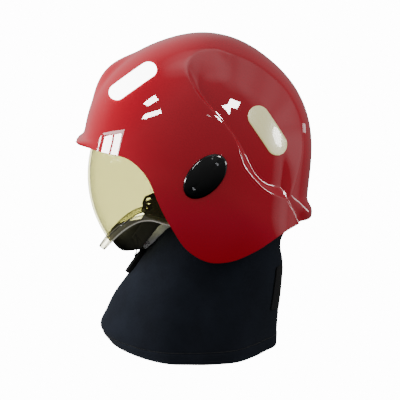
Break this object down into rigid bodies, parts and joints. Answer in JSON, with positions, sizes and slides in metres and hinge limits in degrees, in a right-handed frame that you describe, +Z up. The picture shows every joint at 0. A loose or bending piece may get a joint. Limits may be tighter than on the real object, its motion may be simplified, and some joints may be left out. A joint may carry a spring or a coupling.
{
  "type": "fire helmet",
  "caption": "Jet-style fire helmet: red shell with ear lobes, retracting amber visor, chin harness, headband with ratchet and a dark neck curtain.",
  "frame": {"origin": "midpoint of the visor's pivot axis, level with the wearer's ears", "axes": "+X to the wearer's left, -Y to the front, +Z up"},
  "size_m": [0.2472, 0.2975, 0.3974],
  "materials": {
    "red_gloss_shell": "gloss red lacquer over a moulded shell",
    "liner_foam": "moulded rigid foam",
    "black_plastic": "moulded black nylon",
    "sweatband": "brown leather over foam",
    "crown_webbing": "woven tape",
    "washer_plastic": "natural acetal",
    "plated_steel": "zinc plated",
    "black_gloss": "gloss black moulding",
    "amber_clear": "pale amber polycarbonate",
    "white_reflective": "white reflective film",
    "silver_reflective": "grey beige reflective film",
    "chin_cup_rubber": "soft black moulding",
    "black_webbing": "woven black webbing",
    "grey_webbing": "dark grey shiny webbing",
    "navy_cloth": "dense dark navy cloth",
    "black_fastener": "hook and loop tape"
  },
  "bodies": {
    "helmet": {"outer_shell": "red_gloss_shell", "liner_front_left": "liner_foam", "liner_back_left": "liner_foam", "liner_back_right": "liner_foam", "liner_front_right": "liner_foam", "headband": "black_plastic", "brow_pad": "sweatband", "nape_pad": "sweatband", "band_hangers": "black_plastic", "crown_straps": "crown_webbing", "ratchet_housing": "black_plastic", "pivot_base_left": "black_plastic", "pivot_base_right": "black_plastic", "friction_washer_left": "washer_plastic", "friction_washer_right": "washer_plastic", "pivot_caps": "plated_steel", "side_cover_left": "black_gloss", "side_cover_right": "black_gloss", "cover_screws": "plated_steel", "front_sticker_left": "white_reflective", "front_sticker_right": "white_reflective", "rear_sticker_left": "silver_reflective", "rear_sticker_right": "silver_reflective", "chin_cup": "chin_cup_rubber", "chin_strap_left": "black_webbing", "chin_strap_right": "black_webbing", "strap_divider_left": "black_plastic", "strap_divider_right": "black_plastic", "temple_strap_left": "black_webbing", "temple_strap_right": "black_webbing", "nape_strap_left": "grey_webbing", "nape_strap_right": "grey_webbing", "strap_anchors": "plated_steel", "neck_curtain": "navy_cloth", "curtain_tab": "black_fastener", "curtain_strip": "black_fastener", "curtain_studs": "plated_steel", "divider_rivets": "plated_steel", "tab_loop": "black_webbing"},
    "visor": {"visor_lens": "amber_clear", "visor_hub_left": "black_plastic", "visor_hub_right": "black_plastic", "hub_clamp_rings": "plated_steel"},
    "ratchet_knob": {"ratchet_knob": "black_plastic"}
  },
  "joints": [
    {"name": "visor_pivot", "type": "hinge", "parent": "helmet", "child": "visor", "pos_m": [0, 0, 0], "axis": [-1, 0, 0], "range_deg": [0, 40]},
    {"name": "ratchet_turn", "type": "hinge", "parent": "helmet", "child": "ratchet_knob", "pos_m": [0, 0.112, 0.012], "axis": [0, 1, 0], "continuous": true}
  ]
}
